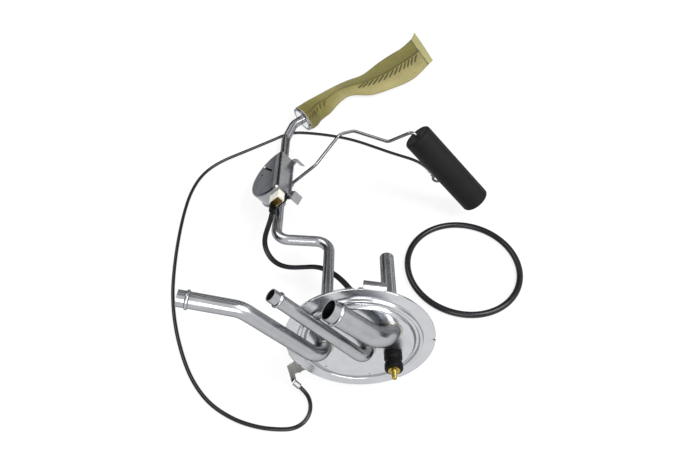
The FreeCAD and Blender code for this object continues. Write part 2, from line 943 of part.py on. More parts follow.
def feed_inner_spool():
    nose = feed_hole_radius - nose_clearance
    seat = inner_face + seal_thickness
    profile = (
        (shank_radius + stud_clearance, crown_face, 0),
        (nose, crown_face, 0),
        (nose, seat, 0),
        (inner_spool_radius, seat, 0),
        (inner_spool_radius, seat + inner_spool_length, 0.5),
        (shank_radius + stud_clearance, seat + inner_spool_length, 0),
    )
    return turned(profile, feed_spot(0), inward)


def tag_level():
    return inner_face + seal_thickness + inner_spool_length


def feed_washer():
    start = feed_spot(crown_face - spool_length)
    return ring(start, outward, feed_washer_thickness, feed_washer_radius, shank_radius + stud_clearance)


def feed_stud():
    thread_root = crown_face - spool_length - feed_washer_thickness
    outer_tip = thread_root - stud_tip
    inner_tip = tag_level() + blade_thickness + feed_nut_height + stud_inner_tip
    profile = (
        (0, outer_tip, 0),
        (stud_radius, outer_tip, 0.4),
        (stud_radius, thread_root, 0),
        (shank_radius, thread_root, 0),
        (shank_radius, inner_tip, 0.4),
        (0, inner_tip, 0),
    )
    return turned(profile, feed_spot(0), inward)


def tag_blade_points():
    root = feed_spot(tag_level() + blade_thickness / 2) - upward * tag_drop
    return root, root + inward * tag_length


def feed_tag():
    eye = rod(feed_spot(tag_level()), inward, blade_thickness, tag_radius)
    hole = rod(feed_spot(tag_level()), inward, blade_thickness, shank_radius + stud_clearance)
    root, tip = tag_blade_points()
    level = inward * (tag_level() + blade_thickness / 2)
    start = feed_spot(0) + level - upward * (tag_radius - 1)
    tongue = strip([start, root, tip], [blade_bend], vector(1, 0, 0), blade_width, blade_thickness)
    return join([eye, tongue]).cut(hole)


def feed_nut():
    reach = feed_nut_flats / math.sqrt(3)
    start = feed_spot(tag_level() + blade_thickness)
    corners = [start + spoke(60 * index) * reach for index in range(7)]
    hexagon = Part.Face(Part.makePolygon(corners)).extrude(inward * feed_nut_height)
    return hexagon.cut(rod(start, inward, feed_nut_height, shank_radius + stud_clearance))


# Flat lead between the two blades
def lead_points():
    place = sender_place()
    root, tip = blade_points()
    start = place.multVec(tip - inward * 0.5)
    after = place.multVec(root - inward * (socket_from_blade_root + socket_length + 4))
    tag_root, tag_tip = tag_blade_points()
    end = tag_tip + inward * 0.5
    before = tag_root + inward * (socket_from_blade_root + socket_length + 5)
    return [start, after] + [vector(*point) for point in lead_route] + [before, end]


def signal_lead():
    points = lead_points()
    bends = cord_bends(points, "signal lead")
    across = sender_place().Rotation.multVec(upward)
    lead = strip(points, bends, across, lead_width, lead_thickness)
    report_cord("signal lead", lead, points, bends, lead_width * lead_thickness)
    return lead


# Ground strap and wire
def strap_side():
    """The direction along the strap's fold."""
    return spoke(strap_heading + 90)


def strap_point(x, y, z):
    """A point of the strap, measured from the rim where the strap joins it."""
    return vector(strap_rim[0], 0, strap_rim[1]) * flange_radius + vector(x, y, z)


def ground_strap():
    """A tab butted on the plate's edge, its folded flap, and the tongue that carries the crimp."""
    away = spoke(strap_heading)
    middle = strap_point(strap_fold_middle[0], strap_level, strap_fold_middle[1])
    turn = math.radians(strap_fold)
    flap = away * math.cos(turn) + outward * math.sin(turn)
    points = [middle - away * strap_flap / 2, middle, middle + flap * strap_flap]
    arm = strip(points, [strap_bend], strap_side(), strap_width, strap_thickness)
    base = strap_level - strap_thickness / 2
    corners = [strap_point(x, base, z) for x, z in strap_root]
    for side in (-1, 1):
        corner = middle + strap_side() * (side * strap_width / 2) - away * strap_bend / 2
        corners.append(vector(corner.x, base, corner.z))
    corners.append(strap_point(strap_root_end[0], base, strap_root_end[1]))
    root = Part.Face(Part.makePolygon(corners + corners[:1])).extrude(inward * strap_thickness)
    start, direction = crimp_axis()
    behind = strap_side().cross(flap).normalize()
    lift = ground_wire_diameter / 2 + strap_thickness / 2
    tip = start + behind * lift + direction
    tongue_start = strap_point(*strap_tongue_start)
    across = unit(tongue_start, tip).cross(behind).normalize()
    tongue = strip([tongue_start, tip], [], across, strap_tongue_width, strap_thickness)
    barrel = rod(start - direction, direction, strap_crimp_length, ground_wire_diameter / 2 + crimp_wall)
    plate_room = rod(inward, outward, plate_thickness + 2, flange_radius + strap_clearance)
    return join([arm, root, tongue]).cut(Part.makeCompound([barrel, plate_room]))


def crimp_axis():
    """The wire's axis where it leaves the strap: the barrel's start and direction."""
    return strap_point(*strap_crimp), vector(*strap_crimp_heading).normalize()


def ground_crimp():
    start, direction = crimp_axis()
    radius = ground_wire_diameter / 2
    return ring(start, direction, strap_crimp_length, radius + crimp_wall, radius)


def wire_points():
    start, direction = crimp_axis()
    head = [start + direction, start + direction * (2 * strap_crimp_length)]
    tail = [vector(x, y, floor + height) for x, y, height in wire_route]
    return [laid.multVec(point) for point in head] + tail


def ground_wire():
    points = wire_points()
    bends = cord_bends(points, "ground wire")
    wire = pipe(points, bends, ground_wire_diameter / 2)
    report_cord("ground wire", wire, points, bends, math.pi * ground_wire_diameter ** 2 / 4)
    return wire


def ground_eyelet():
    points = wire_points()
    end = points[-1]
    heading = unit(points[-2], end)
    heading = vector(heading.x, heading.y, 0).normalize()
    across = heading.cross(upward)
    radius = ground_wire_diameter / 2 + crimp_wall
    barrel = ring(end - heading, heading, crimp_length - 1, radius, ground_wire_diameter / 2)
    level = floor + 0.05 + tongue_thickness / 2
    eye = end + heading * (crimp_length + eyelet_neck)
    eye = vector(eye.x, eye.y, level - tongue_thickness / 2)
    neck_start = vector(end.x, end.y, level) + heading * (crimp_length - 3)
    neck = strip([neck_start, vector(eye.x, eye.y, level)], [], across, tongue_width, tongue_thickness)
    disc = rod(eye, upward, tongue_thickness, eyelet_radius)
    return join([barrel, neck, disc]).cut(rod(eye, upward, tongue_thickness, eyelet_bore))


def lock_ring_gasket():
    return Part.makeTorus(ring_radius, ring_cord / 2, vector(ring_place[0], ring_place[1], floor + ring_cord / 2))


# Strainer
def section_place(centre, roll, heading):
    turn = math.radians(heading)
    tilt = math.radians(roll)
    forward = vector(math.cos(turn), math.sin(turn), 0)
    left = vector(-math.sin(turn), math.cos(turn), 0)
    wide = left * math.cos(tilt) + upward * math.sin(tilt)
    return FreeCAD.Placement(centre, FreeCAD.Rotation(wide, forward.cross(wide), forward, "ZXY"))


def oval(half_width, half_thickness):
    return Part.Wire(Part.Ellipse(origin, half_width, half_thickness).toShape())


def strainer_collar():
    wall = collar_wall
    outer = Part.Face(oval(collar_half_width, collar_half_thickness)).extrude(upward * collar_depth)
    hollow = Part.Face(oval(collar_half_width - wall, collar_half_thickness - wall))
    hollow = hollow.extrude(upward * collar_depth)
    hollow.translate(upward * wall)
    hole = rod(origin, upward, collar_depth, pickup_diameter / 2 + braze_clearance)
    cup = outer.cut(hollow).cut(hole)
    end = laid.multVec(vector(*hook_end))
    heading = laid.Rotation.multVec(unit(vector(*hook_turn), vector(*hook_end)))
    angle = math.degrees(math.atan2(heading.y, heading.x))
    cup.Placement = section_place(end - heading * collar_behind_tube_end, strainer_roll, angle)
    return cup


def strainer_sock():
    wires = []
    for x, y, z, half_width, half_thickness, roll, heading in sock_sections:
        place = section_place(vector(x, y, z), roll, heading)
        corners = []
        for index in range(sock_sides + 1):
            turn = 2 * math.pi * index / sock_sides
            corners.append(place.multVec(vector(half_width * math.cos(turn), half_thickness * math.sin(turn), 0)))
        wires.append(Part.makePolygon(corners))
    return Part.makeLoft(wires, True, True)


unturned = FreeCAD.Placement()
sender = laid.multiply(sender_place())

write(flange_plate(), "flange_plate")
write(spigot(*supply_tube()), "supply_pipe")
write(spigot(*return_tube()), "return_pipe")
write(spigot(*vent_tube()), "vent_pipe")
write(vent_stub(), "vent_stub")
write(pickup_tube(), "pickup_tube")
write(braze_fillets(), "braze_fillets")

write(sender_can(), "sender_can", sender)
write(sender_back_plate(), "sender_back_plate", sender)
write(tube_saddles(), "tube_saddles", sender)
write(saddle_rivets(), "saddle_rivets", sender)
write(pivot_bush(), "pivot_bush", sender)
write(pivot_shaft(), "pivot_shaft", sender)
write(wiper_carrier(), "wiper_carrier", sender)
write(wiper_contact(), "wiper_contact", sender)
write(resistor_card(), "resistor_card", sender)
write(resistor_winding(), "resistor_winding", sender)
write(arm_wire(), "float_arm", sender)
write(tank_float(), "float", sender)
write(push_nut(), "float_push_nut", sender)
write(terminal_block(), "terminal_block", sender)
write(terminal_insulator(), "terminal_insulator", sender)
write(terminal_clip(), "terminal_clip", sender)

blade_root, blade_tip = blade_points()
sender_socket = socket(
    blade_root - inward * socket_from_blade_root, outward, upward, blade_root - inward * 1e-3, blade_tip
)
write(sender_socket, "lead_socket_sender", sender)
tag_root, tag_tip = tag_blade_points()
feed_socket = socket(tag_root + inward * socket_from_blade_root, inward, vector(1, 0, 0), tag_root, tag_tip)
write(feed_socket, "lead_socket_feed")
write(signal_lead(), "signal_lead")

write(feed_spool(), "feed_spool")
write(feed_washer(), "feed_washer")
write(feed_stud(), "feed_stud")
write(feed_seal(), "feed_seal")
write(feed_inner_spool(), "feed_inner_spool")
write(feed_tag(), "feed_tag")
write(feed_nut(), "feed_nut")

write(ground_strap(), "ground_strap")
write(ground_crimp(), "ground_crimp")
write(ground_wire(), "ground_wire", unturned)
write(ground_eyelet(), "ground_eyelet", unturned)
write(lock_ring_gasket(), "lock_ring_gasket", unturned)
write(strainer_collar(), "strainer_collar", unturned)
write(strainer_sock(), "strainer_sock", unturned)
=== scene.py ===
import bpy, bmesh, math, random
from mathutils import Matrix, Vector


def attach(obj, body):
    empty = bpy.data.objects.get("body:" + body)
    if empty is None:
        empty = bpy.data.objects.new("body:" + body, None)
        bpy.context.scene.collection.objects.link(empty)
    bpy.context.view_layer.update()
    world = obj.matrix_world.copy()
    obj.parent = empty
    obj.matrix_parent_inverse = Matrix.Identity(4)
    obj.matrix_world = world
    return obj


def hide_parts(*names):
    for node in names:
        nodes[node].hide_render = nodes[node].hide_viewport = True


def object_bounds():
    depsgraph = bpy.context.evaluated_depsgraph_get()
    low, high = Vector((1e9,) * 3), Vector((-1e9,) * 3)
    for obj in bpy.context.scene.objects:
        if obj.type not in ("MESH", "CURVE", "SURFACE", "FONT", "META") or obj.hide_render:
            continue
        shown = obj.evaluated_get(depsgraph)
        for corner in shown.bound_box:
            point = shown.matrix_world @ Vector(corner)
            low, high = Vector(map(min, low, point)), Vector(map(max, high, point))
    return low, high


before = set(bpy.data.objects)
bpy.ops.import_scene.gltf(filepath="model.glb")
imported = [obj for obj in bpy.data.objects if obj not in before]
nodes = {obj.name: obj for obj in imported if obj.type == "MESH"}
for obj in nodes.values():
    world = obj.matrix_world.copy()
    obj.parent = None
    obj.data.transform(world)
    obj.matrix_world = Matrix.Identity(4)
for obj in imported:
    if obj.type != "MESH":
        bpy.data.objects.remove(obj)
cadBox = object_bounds()
print("frame loaded:", len(nodes), "nodes")

mm = 0.001
floorLevel = cadBox[0].z
housingAxis = (-0.6423, 0.0947, 0.7606)


def deselectAll():
    if bpy.context.object and bpy.context.object.mode != "OBJECT":
        bpy.ops.object.mode_set(mode="OBJECT")
    bpy.ops.object.select_all(action="DESELECT")


# Camera
cameraSetup = {"place": (-0.00851, -0.16676, 0.30054), "downward": 49.54, "turn": 0.93, "lens": 29.0}


def addCamera():
    data = bpy.data.cameras.new("photoCamera")
    data.sensor_width = 36
    data.lens = cameraSetup["lens"]
    data.clip_start = 0.01
    camera = bpy.data.objects.new("photoCamera", data)
    camera.location = cameraSetup["place"]
    tilt, turn = 90 - cameraSetup["downward"], cameraSetup["turn"]
    camera.rotation_euler = (math.radians(tilt), 0, math.radians(turn))
    bpy.context.scene.collection.objects.link(camera)
    bpy.context.scene.camera = camera


addCamera()
print("camera placed")


# Small tools for materials
def newMaterial(name):
    material = bpy.data.materials.new(name)
    material.use_nodes = True
    tree = material.node_tree
    return material, tree, tree.nodes["Principled BSDF"]


def addNode(tree, kind, **values):
    node = tree.nodes.new(kind)
    for key, value in values.items():
        if hasattr(node, key):
            setattr(node, key, value)
        else:
            node.inputs[key].default_value = value
    return node


def ramp(tree, source, stops):
    node = tree.nodes.new("ShaderNodeValToRGB")
    points = node.color_ramp.elements
    for index, (place, colour) in enumerate(stops):
        point = points[index] if index < 2 else points.new(place)
        point.position = place
        point.color = (*colour, 1)
    tree.links.new(source, node.inputs["Fac"])
    return node.outputs["Color"]


def grey(value):
    return (value, value, value)


def placed(tree, source, scale, turn=(0, 0, 0)):
    node = tree.nodes.new("ShaderNodeMapping")
    node.inputs["Scale"].default_value = scale
    node.inputs["Rotation"].default_value = [math.radians(a) for a in turn]
    tree.links.new(source, node.inputs["Vector"])
    return node.outputs["Vector"]


# How far a place lies along an axis
def measure(tree, place, axis):
    node = addNode(tree, "ShaderNodeVectorMath", operation="DOT_PRODUCT")
    tree.links.new(place, node.inputs[0])
    node.inputs[1].default_value = axis
    return node.outputs["Value"]


def multiplied(tree, first, second):
    node = addNode(tree, "ShaderNodeMix", data_type="RGBA", blend_type="MULTIPLY")
    node.inputs[0].default_value = 1
    tree.links.new(first, node.inputs[6])
    tree.links.new(second, node.inputs[7])
    return node.outputs[2]


def newGroup(name, inputs, outputs):
    group = bpy.data.node_groups.new(name, "ShaderNodeTree")
    for label, kind, value in inputs:
        socket = group.interface.new_socket(name=label, in_out="INPUT", socket_type=kind)
        if value is not None:
            socket.default_value = value
    for label, kind in outputs:
        group.interface.new_socket(name=label, in_out="OUTPUT", socket_type=kind)
    return group, group.nodes.new("NodeGroupInput"), group.nodes.new("NodeGroupOutput")


# Handling marks on plated metal: soft smudges, fine scratches and the grain of the sheet
def platedGroup():
    group, entry, leave = newGroup(
        "platedSurface",
        [
            ("Smooth", "NodeSocketFloat", 0.12),
            ("Dull", "NodeSocketFloat", 0.35),
            ("Light", "NodeSocketColor", (0.8, 0.81, 0.83, 1)),
            ("Dark", "NodeSocketColor", (0.6, 0.61, 0.63, 1)),
            ("Grain", "NodeSocketFloat", 0.1),
        ],
        [("Color", "NodeSocketColor"), ("Roughness", "NodeSocketFloat"), ("Normal", "NodeSocketVector")],
    )
    link = group.links.new
    where = addNode(group, "ShaderNodeTexCoord").outputs["Object"]
    smudge = addNode(group, "ShaderNodeTexNoise", Scale=55.0, Detail=6.0, Roughness=0.62)
    link(where, smudge.inputs["Vector"])
    patches = addNode(group, "ShaderNodeTexNoise", Scale=150.0, Detail=3.0, Roughness=0.5)
    link(where, patches.inputs["Vector"])
    scratch = addNode(group, "ShaderNodeTexNoise", Scale=1.0, Detail=5.0, Roughness=0.7)
    link(placed(group, where, (260, 2600, 5200), (17, 31, 12)), scratch.inputs["Vector"])
    level = addNode(group, "ShaderNodeMapRange")
    level.inputs["From Min"].default_value = 0.35
    level.inputs["From Max"].default_value = 0.68
    link(smudge.outputs["Fac"], level.inputs["Value"])
    link(entry.outputs["Smooth"], level.inputs["To Min"])
    link(entry.outputs["Dull"], level.inputs["To Max"])
    link(level.outputs["Result"], leave.inputs["Roughness"])
    colour = addNode(group, "ShaderNodeMix", data_type="RGBA")
    link(patches.outputs["Fac"], colour.inputs[0])
    link(entry.outputs["Dark"], colour.inputs[6])
    link(entry.outputs["Light"], colour.inputs[7])
    link(colour.outputs[2], leave.inputs["Color"])
    bump = addNode(group, "ShaderNodeBump", Distance=0.0002)
    link(entry.outputs["Grain"], bump.inputs["Strength"])
    link(scratch.outputs["Fac"], bump.inputs["Height"])
    link(bump.outputs["Normal"], leave.inputs["Normal"])
    return group


# Moulded or foamed surface: fine pores and a faint uneven sheen
def mouldedGroup():
    group, entry, leave = newGroup(
        "mouldedSurface",
        [
            ("Pore Scale", "NodeSocketFloat", 1800.0),
            ("Depth", "NodeSocketFloat", 0.3),
            ("Smooth", "NodeSocketFloat", 0.3),
            ("Dull", "NodeSocketFloat", 0.6),
        ],
        [("Mask", "NodeSocketFloat"), ("Roughness", "NodeSocketFloat"), ("Normal", "NodeSocketVector")],
    )
    link = group.links.new
    where = addNode(group, "ShaderNodeTexCoord").outputs["Object"]
    pores = addNode(group, "ShaderNodeTexVoronoi")
    link(where, pores.inputs["Vector"])
    link(entry.outputs["Pore Scale"], pores.inputs["Scale"])
    cloud = addNode(group, "ShaderNodeTexNoise", Scale=90.0, Detail=5.0, Roughness=0.6)
    link(where, cloud.inputs["Vector"])
    level = addNode(group, "ShaderNodeMapRange")
    level.inputs["From Min"].default_value = 0.3
    level.inputs["From Max"].default_value = 0.7
    link(cloud.outputs["Fac"], level.inputs["Value"])
    link(entry.outputs["Smooth"], level.inputs["To Min"])
    link(entry.outputs["Dull"], level.inputs["To Max"])
    link(level.outputs["Result"], leave.inputs["Roughness"])
    link(cloud.outputs["Fac"], leave.inputs["Mask"])
    bump = addNode(group, "ShaderNodeBump", Distance=0.0002)
    link(entry.outputs["Depth"], bump.inputs["Strength"])
    link(pores.outputs["Distance"], bump.inputs["Height"])
    link(bump.outputs["Normal"], leave.inputs["Normal"])
    return group


plated = platedGroup()
moulded = mouldedGroup()


def metal(name, smooth, dull, light, dark, grain, edge):
    material, tree, shader = newMaterial(name)
    node = tree.nodes.new("ShaderNodeGroup")
    node.node_tree = plated
    for label, value in (
        ("Smooth", smooth), ("Dull", dull), ("Light", (*light, 1)), ("Dark", (*dark, 1)), ("Grain", grain),
    ):
        node.inputs[label].default_value = value
    shader.inputs["Metallic"].default_value = 1
    shader.inputs["Specular Tint"].default_value = (*grey(edge), 1)
    tree.links.new(node.outputs["Color"], shader.inputs["Base Color"])
    tree.links.new(node.outputs["Roughness"], shader.inputs["Roughness"])
    tree.links.new(node.outputs["Normal"], shader.inputs["Normal"])
    return material


# Stamped housing: a face painted darker as shade above polished walls, parted by height along the housing's
# own axis, with painted shade deepest beside the ridge and a pale painted highlight on the ridge beside the
# flat wall
def canFinish():
    setup = {
        "pivot": (-0.05992, 0.1541, -0.01894), "faceHeight": 0.0131, "below": 0.0008, "above": 0.0004,
        "across": (0.765, 0.13, 0.63), "ridge": (-0.046, -0.032),
    }
    material, tree, shader = newMaterial("canSteelPaintedShade")
    link = tree.links.new
    node = tree.nodes.new("ShaderNodeGroup")
    node.node_tree = plated
    for label, value in (("Smooth", 0.24), ("Dull", 0.4), ("Grain", 0.1)):
        node.inputs[label].default_value = value
    node.inputs["Light"].default_value = (0.36, 0.37, 0.39, 1)
    node.inputs["Dark"].default_value = (0.28, 0.29, 0.31, 1)
    where = addNode(tree, "ShaderNodeTexCoord").outputs["Object"]
    base = Vector(housingAxis).dot(Vector(setup["pivot"])) + setup["faceHeight"]
    level = addNode(tree, "ShaderNodeMapRange")
    level.inputs["From Min"].default_value = base - setup["below"]
    level.inputs["From Max"].default_value = base + setup["above"]
    link(measure(tree, where, housingAxis), level.inputs["Value"])
    width = addNode(tree, "ShaderNodeMapRange")
    width.inputs["From Min"].default_value, width.inputs["From Max"].default_value = setup["ridge"]
    link(measure(tree, where, setup["across"]), width.inputs["Value"])
    # Painted shade across the face, deepest just before the ridge, then a painted highlight on the ridge, then
    # darker again past it
    face = ramp(tree, width.outputs["Result"], (
        (0.0, (0.33, 0.34, 0.38)), (0.5, (0.2, 0.2, 0.23)), (0.66, (0.07, 0.07, 0.08)),
        (0.72, (0.5, 0.51, 0.54)), (0.92, (0.44, 0.45, 0.48)), (1.0, (0.14, 0.14, 0.15)),
    ))
    # Above the face height the housing takes this painted shade; below it the walls keep their plated colour
    shade = addNode(tree, "ShaderNodeMix", data_type="RGBA")
    link(level.outputs["Result"], shade.inputs[0])
    shade.inputs[6].default_value = (1, 1, 1, 1)
    link(face, shade.inputs[7])
    link(multiplied(tree, node.outputs["Color"], shade.outputs[2]), shader.inputs["Base Color"])
    link(node.outputs["Roughness"], shader.inputs["Roughness"])
    link(node.outputs["Normal"], shader.inputs["Normal"])
    shader.inputs["Metallic"].default_value = 1
    return material


# Strainer collar: bright, with a dark line of painted shade along its rolled edge
def collarFinish():
    setup = {
        "middle": (-0.05368, 0.25779, -0.037), "half": (0.0125, 0.0064),
        "axes": ((-0.619, 0.605, 0.5), (0.358, -0.349, 0.866)),
    }
    material, tree, shader = newMaterial("collarSteelPaintedEdgeShade")
    link = tree.links.new
    where = addNode(tree, "ShaderNodeTexCoord").outputs["Object"]
    offset = addNode(tree, "ShaderNodeVectorMath", operation="SUBTRACT")
    link(where, offset.inputs[0])
    offset.inputs[1].default_value = setup["middle"]
    total = addNode(tree, "ShaderNodeMath", operation="ADD")
    for index, (axis, half) in enumerate(zip(setup["axes"], setup["half"])):
        along = measure(tree, offset.outputs["Vector"], [c / half for c in axis])
        square = addNode(tree, "ShaderNodeMath", operation="MULTIPLY")
        link(along, square.inputs[0])
        link(along, square.inputs[1])
        link(square.outputs["Value"], total.inputs[index])
    # Painted shade: the ramp darkens the collar towards its rolled edge
    stops = ((0.55, (0.8, 0.81, 0.82)), (0.74, (0.1, 0.105, 0.11)), (0.9, grey(0.3)))
    shade = ramp(tree, total.outputs["Value"], stops)
    link(shade, shader.inputs["Base Color"])
    shader.inputs["Metallic"].default_value = 1
    shader.inputs["Roughness"].default_value = 0.12
    return material


def mouldedFinish(name, light, dark, smooth, dull, poreScale, depth, coat, shine):
    material, tree, shader = newMaterial(name)
    node = tree.nodes.new("ShaderNodeGroup")
    node.node_tree = moulded
    for label, value in (("Pore Scale", poreScale), ("Depth", depth), ("Smooth", smooth), ("Dull", dull)):
        node.inputs[label].default_value = value
    shade = ramp(tree, node.outputs["Mask"], ((0.3, dark), (0.7, light)))
    shader.inputs["Coat Weight"].default_value = coat
    shader.inputs["Specular IOR Level"].default_value = shine
    tree.links.new(shade, shader.inputs["Base Color"])
    tree.links.new(node.outputs["Roughness"], shader.inputs["Roughness"])
    tree.links.new(node.outputs["Normal"], shader.inputs["Normal"])
    return material


def windingFinish():
    material, tree, shader = newMaterial("resistanceWire")
    where = addNode(tree, "ShaderNodeTexCoord").outputs["Object"]
    turns = addNode(tree, "ShaderNodeTexWave", Scale=900.0)
    tree.links.new(where, turns.inputs["Vector"])
    shade = ramp(tree, turns.outputs["Fac"], ((0.1, (0.2, 0.17, 0.12)), (0.6, (0.62, 0.56, 0.46))))
    tree.links.new(shade, shader.inputs["Base Color"])
    shader.inputs["Metallic"].default_value = 1
    shader.inputs["Roughness"].default_value = 0.35
    bump = addNode(tree, "ShaderNodeBump", Strength=0.6, Distance=0.0002)
    tree.links.new(turns.outputs["Fac"], bump.inputs["Height"])
    tree.links.new(bump.outputs["Normal"], shader.inputs["Normal"])
    return material


# Metals: least and most roughness, light and dark colour, grain, and how bright their edges stay
metals = {
    "plateSteel": (0.16, 0.3, (0.6, 0.61, 0.63), (0.5, 0.51, 0.53), 0.06, 0.8),
    "tubeSteel": (0.16, 0.3, (0.46, 0.47, 0.49), (0.34, 0.35, 0.37), 0.08, 0.25),
    "brazeMetal": (0.24, 0.4, (0.5, 0.49, 0.46), (0.36, 0.35, 0.32), 0.3, 0.8),
    "bracketSteel": (0.22, 0.36, (0.4, 0.4, 0.42), (0.3, 0.3, 0.32), 0.15, 0.8),
    "turnedSteel": (0.18, 0.36, (0.5, 0.5, 0.51), (0.36, 0.36, 0.37), 0.25, 0.8),
    "armSteel": (0.2, 0.32, (0.22, 0.22, 0.23), (0.14, 0.14, 0.15), 0.12, 0.05),
    "strapSteel": (0.26, 0.42, (0.33, 0.33, 0.32), (0.21, 0.21, 0.2), 0.4, 0.8),
    "brass": (0.2, 0.36, (0.46, 0.36, 0.1), (0.24, 0.18, 0.04), 0.2, 0.8),
    "darkBrass": (0.3, 0.5, (0.25, 0.16, 0.04), (0.12, 0.075, 0.02), 0.3, 0.8),
    "springBronze": (0.2, 0.36, (0.75, 0.5, 0.3), (0.55, 0.34, 0.18), 0.2, 0.8),
}
# Moulded pieces: light and dark colour, least and most roughness, pore scale and depth, coat and shine
mouldings = {
    "whiteInsulator": ((0.74, 0.72, 0.65), (0.6, 0.58, 0.5), 0.4, 0.6, 1400, 0.2, 0, 0.25),
    "cardBoard": ((0.3, 0.17, 0.09), (0.2, 0.11, 0.05), 0.5, 0.7, 2200, 0.4, 0, 0.25),
    "floatFoam": ((0.009, 0.009, 0.01), grey(0.005), 0.5, 0.7, 1500, 0.35, 0, 0.12),
    "blackPlastic": (grey(0.005), grey(0.002), 0.3, 0.5, 2600, 0.15, 0, 0.08),
    "gasketRubber": ((0.007, 0.007, 0.01), (0.004, 0.004, 0.006), 0.2, 0.32, 1600, 0.06, 0, 0.3),
    "leadRubber": ((0.011, 0.01, 0.014), (0.006, 0.006, 0.008), 0.34, 0.5, 1800, 0.15, 0, 0.15),
    "wireGloss": ((0.006, 0.0065, 0.008), (0.004, 0.004, 0.005), 0.18, 0.3, 900, 0.05, 0.2, 0.25),
    "stitchThread": ((0.085, 0.07, 0.025), (0.055, 0.045, 0.018), 0.6, 0.8, 2600, 0.4, 0, 0.25),
}
finishes = {name: metal(name, *values) for name, values in metals.items()}
finishes.update({name: mouldedFinish(name, *values) for name, values in mouldings.items()})
finishes.update({"canSteelPaintedShade": canFinish(), "collarSteelPaintedEdgeShade": collarFinish(), "resistanceWire": windingFinish()})

nodeFinishes = {
    "plateSteel": ("flange_plate",),
    "tubeSteel": ("supply_pipe", "return_pipe", "vent_pipe", "vent_stub", "pickup_tube"),
    "brazeMetal": ("braze_fillets",),
    "canSteelPaintedShade": ("sender_can",),
    "bracketSteel": ("sender_back_plate", "tube_saddles", "saddle_rivets"),
    "turnedSteel": ("pivot_bush", "pivot_shaft", "float_push_nut"),
    "armSteel": ("float_arm",),
    "strapSteel": ("ground_strap", "ground_crimp", "ground_eyelet"),
    "collarSteelPaintedEdgeShade": ("strainer_collar",),
    "darkBrass": ("terminal_clip",),
    "brass": ("feed_washer", "feed_stud", "feed_tag", "feed_nut"),
    "springBronze": ("wiper_contact",),
    "whiteInsulator": ("wiper_carrier", "terminal_block"),
    "cardBoard": ("resistor_card",),
    "resistanceWire": ("resistor_winding",),
    "floatFoam": ("float",),
    "blackPlastic": ("feed_spool", "feed_inner_spool", "lead_socket_feed", "lead_socket_sender",
                     "terminal_insulator"),
    "gasketRubber": ("feed_seal", "lock_ring_gasket"),
    "leadRubber": ("signal_lead",),
    "wireGloss": ("ground_wire",),
}


def dressNodes():
    for finish, names in nodeFinishes.items():
        for name in names:
            mesh = nodes[name].data
            mesh.materials.clear()
            mesh.materials.append(finishes[finish])


dressNodes()
print("node materials set")


# Ground wire: the route's points as in the part's source, in millimetres
groundWire = {
    "radius": 1.35,
    "crimp": ((-41.22, -11.2, -39.41), (-34.8, -15.04, -42.78)),
    "route": (
        (-30.9, -21.4, 1.6), (-30.7, -29.0, 1.36), (-34.3, -35.6, 1.36), (-40.9, -39.4, 1.36),
        (-50.0, -40.0, 1.36), (-63.0, -38.9, 1.36), (-79.0, -34.3, 1.36), (-96.5, -24.2, 1.36),
        (-110.5, -8.6, 1.36), (-121.1, 10.2, 1.36), (-131.0, 33.6, 1.36), (-138.3, 59.0, 1.36),
        (-142.3, 84.8, 1.36), (-144.9, 110.8, 1.36), (-146.2, 140.0, 1.36), (-145.2, 165.4, 1.36),
        (-139.4, 187.6, 1.36), (-126.5, 204.2, 1.36), (-104.8, 218.8, 1.36), (-83.5, 233.4, 1.36),
        (-64.2, 247.2, 1.36), (-44.2, 246.2, 1.36), (-23.8, 242.9, 1.36), (-3.1, 236.9, 1.36),
        (17.5, 226.6, 1.36), (31.6, 219.3, 1.36), (42.6, 214.4, 1.36), (50.2, 211.0, 1.36),
        (56.3, 206.9, 1.5), (61.3, 201.6, 1.8), (65.3, 195.4, 2.0),
    ),
    "length": 0.5594,
}


# A NURBS line through the route's points, which are in millimetres
def routeCurve(name, points):
    data = bpy.data.curves.new(name, "CURVE")
    data.dimensions = "3D"
    data.resolution_u = 8
    spline = data.splines.new("NURBS")
    spline.points.add(len(points) - 1)
    for point, place in zip(spline.points, points):
        point.co = (*[c * mm for c in place], 1)
    spline.order_u = 3
    spline.use_endpoint_u = True
    curve = bpy.data.objects.new(name, data)
    bpy.context.scene.collection.objects.link(curve)
    return curve


def addGroundWire():
    low = floorLevel / mm
    points = list(groundWire["crimp"]) + [(x, y, low + height) for x, y, height in groundWire["route"]]
    wire = routeCurve("groundWire", points)
    wire.data.bevel_depth = groundWire["radius"] * mm
    wire.data.bevel_resolution = 6
    wire.data.use_fill_caps = True
    wire.data.materials.append(finishes["wireGloss"])
    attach(wire, "root")
    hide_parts("ground_wire")


addGroundWire()


# Flat lead from the housing's terminal to the stud
signalLead = {
    "width": 4.3,
    "thickness": 0.8,
    "edge": 0.3,
    "route": (
        (-65.86, 113.88, -9.74), (-65.6, 107.47, -8.72), (-67.0, 100.42, -10.34), (-70.1, 93.25, -16.59),
        (-69.9, 88.14, -22.67), (-65.9, 82.31, -27.51), (-59.5, 77.53, -29.59), (-51.1, 75.41, -30.17),
        (-41.0, 75.0, -28.89), (-31.2, 74.31, -26.86), (-22.2, 69.78, -24.82), (-11.7, 59.88, -22.75),
        (0.3, 42.33, -22.3), (13.2, 33.67, -20.11), (20.7, 14.63, -18.21), (20.7, 9.2, -17.35),
    ),
    "length": 0.1637,
}


def linePoints(curve):
    mesh = bpy.data.meshes.new_from_object(curve)
    points = [v.co.copy() for v in mesh.vertices]
    bpy.data.meshes.remove(mesh)
    return points


